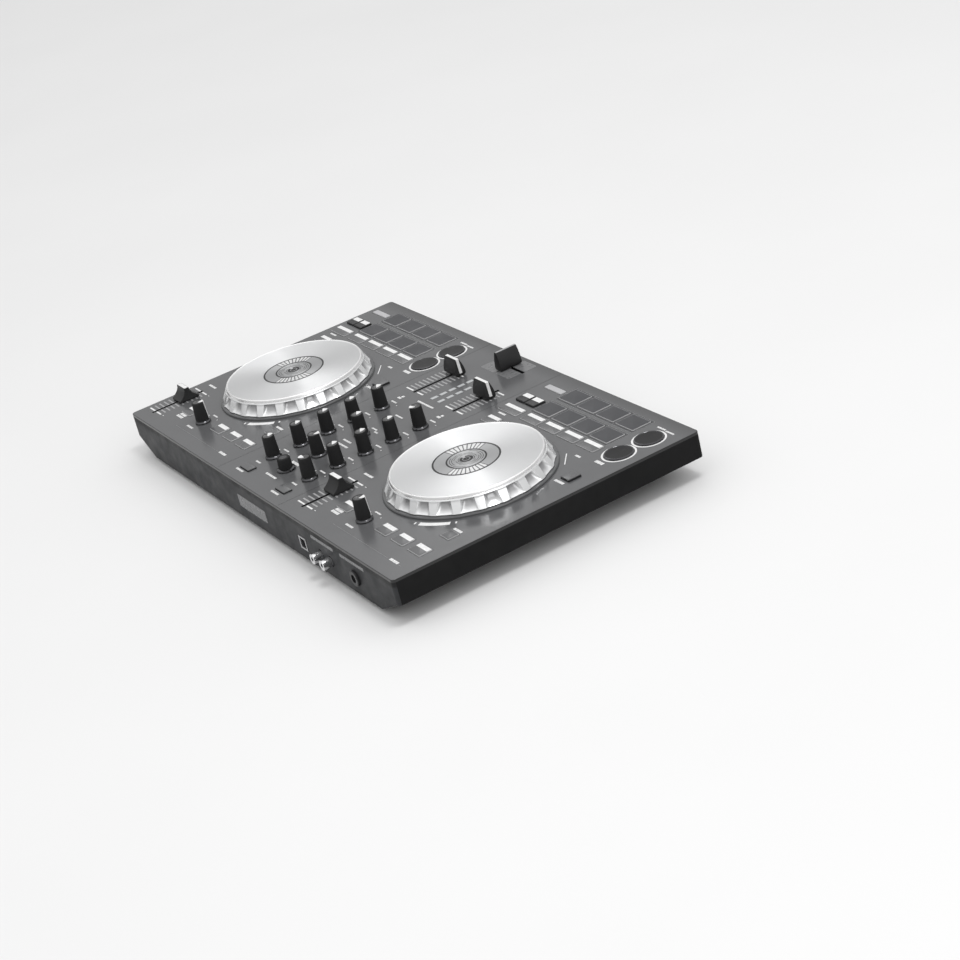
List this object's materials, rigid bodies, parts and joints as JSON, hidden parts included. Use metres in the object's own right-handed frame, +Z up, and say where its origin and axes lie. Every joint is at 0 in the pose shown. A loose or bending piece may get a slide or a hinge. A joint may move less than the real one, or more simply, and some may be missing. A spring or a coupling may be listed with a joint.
{
  "type": "dj controller",
  "caption": "Flat two-deck DJ controller with notched jog wheels, key and pad rows, tall knobs, upright faders, level lights and rear audio and USB sockets.",
  "frame": {"origin": "on the desk, under the centre of the footprint, with the rear socket sleeves counted in the footprint", "axes": "+X to the user's right, along the longest extent; +Y away from the user, out of the rear sockets; +Z up, along the shortest extent"},
  "size_m": [0.487, 0.2796, 0.0584],
  "materials": {
    "panel_plastic": "fine-grained grey cover",
    "case_plastic": "fine-grained black",
    "rear_plastic": "fine-grained dark grey",
    "under_plastic": "grained black",
    "foot_rubber": "matte",
    "screw_steel": "black-plated",
    "board_laminate": "green solder mask",
    "pot_shell": "moulded",
    "track_steel": "plated",
    "switch_plastic": "moulded",
    "lens_plastic": "milky clear",
    "jog_base_plastic": "dark satin",
    "jog_metal": "spun satin with printed rings",
    "jog_rim_plastic": "silver lacquer",
    "socket_chrome": "polished",
    "socket_plastic": "black",
    "socket_steel": "plated",
    "key_plastic": "satin grey with pale printed bars",
    "pad_rubber": "satin silicone",
    "key_gloss": "gloss black",
    "knob_plastic": "soft black with pale pointer",
    "fader_plastic": "satin black with pale line"
  },
  "bodies": {
    "chassis": {"top_panel": "panel_plastic", "side_frame": "case_plastic", "rear_panel": "rear_plastic", "lower_case": "under_plastic", "rubber_feet": "foot_rubber", "case_screws": "screw_steel", "main_board": "board_laminate", "rotary_pots": "pot_shell", "fader_tracks": "track_steel", "key_switches": "switch_plastic", "level_meter_lenses": "lens_plastic", "jog_bases": "jog_base_plastic", "rca_jacks": "socket_chrome", "mic_jack": "socket_plastic", "usb_port": "socket_steel", "headphone_jack": "socket_plastic"},
    "jog_wheel_left": {"jog_plate_left": "jog_metal", "jog_skirt_left": "jog_rim_plastic"},
    "effect_keys_left": {"effect_keys_left": "key_plastic"},
    "pad_mode_keys_left": {"pad_mode_keys_left": "key_plastic"},
    "loop_keys_left": {"loop_keys_left": "key_plastic"},
    "slip_key_left": {"slip_key_left": "key_plastic"},
    "sync_key_left": {"sync_key_left": "key_plastic"},
    "shift_key_left": {"shift_key_left": "key_plastic"},
    "performance_pads_left": {"performance_pads_left": "pad_rubber"},
    "cue_key_left": {"cue_key_left": "key_gloss"},
    "play_key_left": {"play_key_left": "key_gloss"},
    "load_key_left": {"load_key_left": "key_plastic"},
    "jog_wheel_right": {"jog_plate_right": "jog_metal", "jog_skirt_right": "jog_rim_plastic"},
    "effect_keys_right": {"effect_keys_right": "key_plastic"},
    "pad_mode_keys_right": {"pad_mode_keys_right": "key_plastic"},
    "loop_keys_right": {"loop_keys_right": "key_plastic"},
    "slip_key_right": {"slip_key_right": "key_plastic"},
    "sync_key_right": {"sync_key_right": "key_plastic"},
    "shift_key_right": {"shift_key_right": "key_plastic"},
    "performance_pads_right": {"performance_pads_right": "pad_rubber"},
    "cue_key_right": {"cue_key_right": "key_gloss"},
    "play_key_right": {"play_key_right": "key_gloss"},
    "load_key_right": {"load_key_right": "key_plastic"},
    "trim_knob_left": {"trim_knob_left": "knob_plastic"},
    "high_knob_left": {"high_knob_left": "knob_plastic"},
    "mid_knob_left": {"mid_knob_left": "knob_plastic"},
    "low_knob_left": {"low_knob_left": "knob_plastic"},
    "filter_knob_left": {"filter_knob_left": "knob_plastic"},
    "trim_knob_right": {"trim_knob_right": "knob_plastic"},
    "high_knob_right": {"high_knob_right": "knob_plastic"},
    "mid_knob_right": {"mid_knob_right": "knob_plastic"},
    "low_knob_right": {"low_knob_right": "knob_plastic"},
    "filter_knob_right": {"filter_knob_right": "knob_plastic"},
    "master_level_knob": {"master_level_knob": "knob_plastic"},
    "headphone_level_knob": {"headphone_level_knob": "knob_plastic"},
    "browse_knob": {"browse_knob": "knob_plastic"},
    "effect_level_knob_left": {"effect_level_knob_left": "knob_plastic"},
    "effect_level_knob_right": {"effect_level_knob_right": "knob_plastic"},
    "tempo_slider_left": {"tempo_slider_left": "fader_plastic"},
    "tempo_slider_right": {"tempo_slider_right": "fader_plastic"},
    "channel_fader_left": {"channel_fader_left": "fader_plastic"},
    "channel_fader_right": {"channel_fader_right": "fader_plastic"},
    "crossfader": {"crossfader": "fader_plastic"}
  },
  "joints": [
    {"name": "spin_jog_wheel_left", "type": "hinge", "parent": "chassis", "child": "jog_wheel_left", "pos_m": [-0.1495, 0.0087, 0.041], "axis": [0, 0, 1], "continuous": true},
    {"name": "press_effect_keys_left", "type": "slide", "parent": "chassis", "child": "effect_keys_left", "axis": [0, 0, -1], "range_m": [0, 0.0008], "stiffness_N_per_m": 500, "springref_m": -0.001},
    {"name": "press_pad_mode_keys_left", "type": "slide", "parent": "chassis", "child": "pad_mode_keys_left", "axis": [0, 0, -1], "range_m": [0, 0.0008], "stiffness_N_per_m": 500, "springref_m": -0.001},
    {"name": "press_loop_keys_left", "type": "slide", "parent": "chassis", "child": "loop_keys_left", "axis": [0, 0, -1], "range_m": [0, 0.0008], "stiffness_N_per_m": 500, "springref_m": -0.001},
    {"name": "press_slip_key_left", "type": "slide", "parent": "chassis", "child": "slip_key_left", "axis": [0, 0, -1], "range_m": [0, 0.0008], "stiffness_N_per_m": 500, "springref_m": -0.001},
    {"name": "press_sync_key_left", "type": "slide", "parent": "chassis", "child": "sync_key_left", "axis": [0, 0, -1], "range_m": [0, 0.0008], "stiffness_N_per_m": 500, "springref_m": -0.001},
    {"name": "press_shift_key_left", "type": "slide", "parent": "chassis", "child": "shift_key_left", "axis": [0, 0, -1], "range_m": [0, 0.0008], "stiffness_N_per_m": 500, "springref_m": -0.001},
    {"name": "press_performance_pads_left", "type": "slide", "parent": "chassis", "child": "performance_pads_left", "axis": [0, 0, -1], "range_m": [0, 0.0008], "stiffness_N_per_m": 500, "springref_m": -0.001},
    {"name": "press_cue_key_left", "type": "slide", "parent": "chassis", "child": "cue_key_left", "axis": [0, 0, -1], "range_m": [0, 0.0008], "stiffness_N_per_m": 500, "springref_m": -0.001},
    {"name": "press_play_key_left", "type": "slide", "parent": "chassis", "child": "play_key_left", "axis": [0, 0, -1], "range_m": [0, 0.0008], "stiffness_N_per_m": 500, "springref_m": -0.001},
    {"name": "press_load_key_left", "type": "slide", "parent": "chassis", "child": "load_key_left", "axis": [0, 0, -1], "range_m": [0, 0.0008], "stiffness_N_per_m": 500, "springref_m": -0.001},
    {"name": "spin_jog_wheel_right", "type": "hinge", "parent": "chassis", "child": "jog_wheel_right", "pos_m": [0.1495, 0.0087, 0.041], "axis": [0, 0, 1], "continuous": true},
    {"name": "press_effect_keys_right", "type": "slide", "parent": "chassis", "child": "effect_keys_right", "axis": [0, 0, -1], "range_m": [0, 0.0008], "stiffness_N_per_m": 500, "springref_m": -0.001},
    {"name": "press_pad_mode_keys_right", "type": "slide", "parent": "chassis", "child": "pad_mode_keys_right", "axis": [0, 0, -1], "range_m": [0, 0.0008], "stiffness_N_per_m": 500, "springref_m": -0.001},
    {"name": "press_loop_keys_right", "type": "slide", "parent": "chassis", "child": "loop_keys_right", "axis": [0, 0, -1], "range_m": [0, 0.0008], "stiffness_N_per_m": 500, "springref_m": -0.001},
    {"name": "press_slip_key_right", "type": "slide", "parent": "chassis", "child": "slip_key_right", "axis": [0, 0, -1], "range_m": [0, 0.0008], "stiffness_N_per_m": 500, "springref_m": -0.001},
    {"name": "press_sync_key_right", "type": "slide", "parent": "chassis", "child": "sync_key_right", "axis": [0, 0, -1], "range_m": [0, 0.0008], "stiffness_N_per_m": 500, "springref_m": -0.001},
    {"name": "press_shift_key_right", "type": "slide", "parent": "chassis", "child": "shift_key_right", "axis": [0, 0, -1], "range_m": [0, 0.0008], "stiffness_N_per_m": 500, "springref_m": -0.001},
    {"name": "press_performance_pads_right", "type": "slide", "parent": "chassis", "child": "performance_pads_right", "axis": [0, 0, -1], "range_m": [0, 0.0008], "stiffness_N_per_m": 500, "springref_m": -0.001},
    {"name": "press_cue_key_right", "type": "slide", "parent": "chassis", "child": "cue_key_right", "axis": [0, 0, -1], "range_m": [0, 0.0008], "stiffness_N_per_m": 500, "springref_m": -0.001},
    {"name": "press_play_key_right", "type": "slide", "parent": "chassis", "child": "play_key_right", "axis": [0, 0, -1], "range_m": [0, 0.0008], "stiffness_N_per_m": 500, "springref_m": -0.001},
    {"name": "press_load_key_right", "type": "slide", "parent": "chassis", "child": "load_key_right", "axis": [0, 0, -1], "range_m": [0, 0.0008], "stiffness_N_per_m": 500, "springref_m": -0.001},
    {"name": "turn_trim_knob_left", "type": "hinge", "parent": "chassis", "child": "trim_knob_left", "pos_m": [-0.0341, 0.0909, 0.0394], "axis": [0, 0, -1], "range_deg": [-210, 90]},
    {"name": "turn_high_knob_left", "type": "hinge", "parent": "chassis", "child": "high_knob_left", "pos_m": [-0.0341, 0.06505, 0.0394], "axis": [0, 0, -1], "range_deg": [-300, 0]},
    {"name": "turn_mid_knob_left", "type": "hinge", "parent": "chassis", "child": "mid_knob_left", "pos_m": [-0.0341, 0.0392, 0.0394], "axis": [0, 0, -1], "range_deg": [-300, 0]},
    {"name": "turn_low_knob_left", "type": "hinge", "parent": "chassis", "child": "low_knob_left", "pos_m": [-0.0341, 0.01335, 0.0394], "axis": [0, 0, -1], "range_deg": [-300, 0]},
    {"name": "turn_filter_knob_left", "type": "hinge", "parent": "chassis", "child": "filter_knob_left", "pos_m": [-0.0341, -0.0125, 0.0394], "axis": [0, 0, -1], "range_deg": [-180, 120]},
    {"name": "turn_trim_knob_right", "type": "hinge", "parent": "chassis", "child": "trim_knob_right", "pos_m": [0.0321, 0.0909, 0.0394], "axis": [0, 0, -1], "range_deg": [-300, 0]},
    {"name": "turn_high_knob_right", "type": "hinge", "parent": "chassis", "child": "high_knob_right", "pos_m": [0.0321, 0.06505, 0.0394], "axis": [0, 0, -1], "range_deg": [-300, 0]},
    {"name": "turn_mid_knob_right", "type": "hinge", "parent": "chassis", "child": "mid_knob_right", "pos_m": [0.0321, 0.0392, 0.0394], "axis": [0, 0, -1], "range_deg": [-300, 0]},
    {"name": "turn_low_knob_right", "type": "hinge", "parent": "chassis", "child": "low_knob_right", "pos_m": [0.0321, 0.01335, 0.0394], "axis": [0, 0, -1], "range_deg": [-300, 0]},
    {"name": "turn_filter_knob_right", "type": "hinge", "parent": "chassis", "child": "filter_knob_right", "pos_m": [0.0321, -0.0125, 0.0394], "axis": [0, 0, -1], "range_deg": [-300, 0]},
    {"name": "turn_master_level_knob", "type": "hinge", "parent": "chassis", "child": "master_level_knob", "pos_m": [-0.001, 0.0652, 0.0394], "axis": [0, 0, -1], "range_deg": [0, 300]},
    {"name": "turn_headphone_level_knob", "type": "hinge", "parent": "chassis", "child": "headphone_level_knob", "pos_m": [-0.001, 0.0247, 0.0394], "axis": [0, 0, -1], "range_deg": [-300, 0]},
    {"name": "turn_browse_knob", "type": "hinge", "parent": "chassis", "child": "browse_knob", "pos_m": [-0.001, 0.0955, 0.0394], "axis": [0, 0, -1], "continuous": true},
    {"name": "turn_effect_level_knob_left", "type": "hinge", "parent": "chassis", "child": "effect_level_knob_left", "pos_m": [-0.1403, 0.098, 0.0394], "axis": [0, 0, -1], "range_deg": [0, 300]},
    {"name": "turn_effect_level_knob_right", "type": "hinge", "parent": "chassis", "child": "effect_level_knob_right", "pos_m": [0.1587, 0.098, 0.0394], "axis": [0, 0, -1], "range_deg": [0, 300]},
    {"name": "slide_tempo_slider_left", "type": "slide", "parent": "chassis", "child": "tempo_slider_left", "axis": [0, 1, 0], "range_m": [-0.01405, 0.03125]},
    {"name": "slide_tempo_slider_right", "type": "slide", "parent": "chassis", "child": "tempo_slider_right", "axis": [0, 1, 0], "range_m": [-0.01405, 0.03125]},
    {"name": "slide_channel_fader_left", "type": "slide", "parent": "chassis", "child": "channel_fader_left", "axis": [0, 1, 0], "range_m": [-0.01105, 0.02905]},
    {"name": "slide_channel_fader_right", "type": "slide", "parent": "chassis", "child": "channel_fader_right", "axis": [0, 1, 0], "range_m": [-0.00065, 0.03945]},
    {"name": "slide_crossfader", "type": "slide", "parent": "chassis", "child": "crossfader", "axis": [1, 0, 0], "range_m": [-0.0205, 0.0205]}
  ]
}
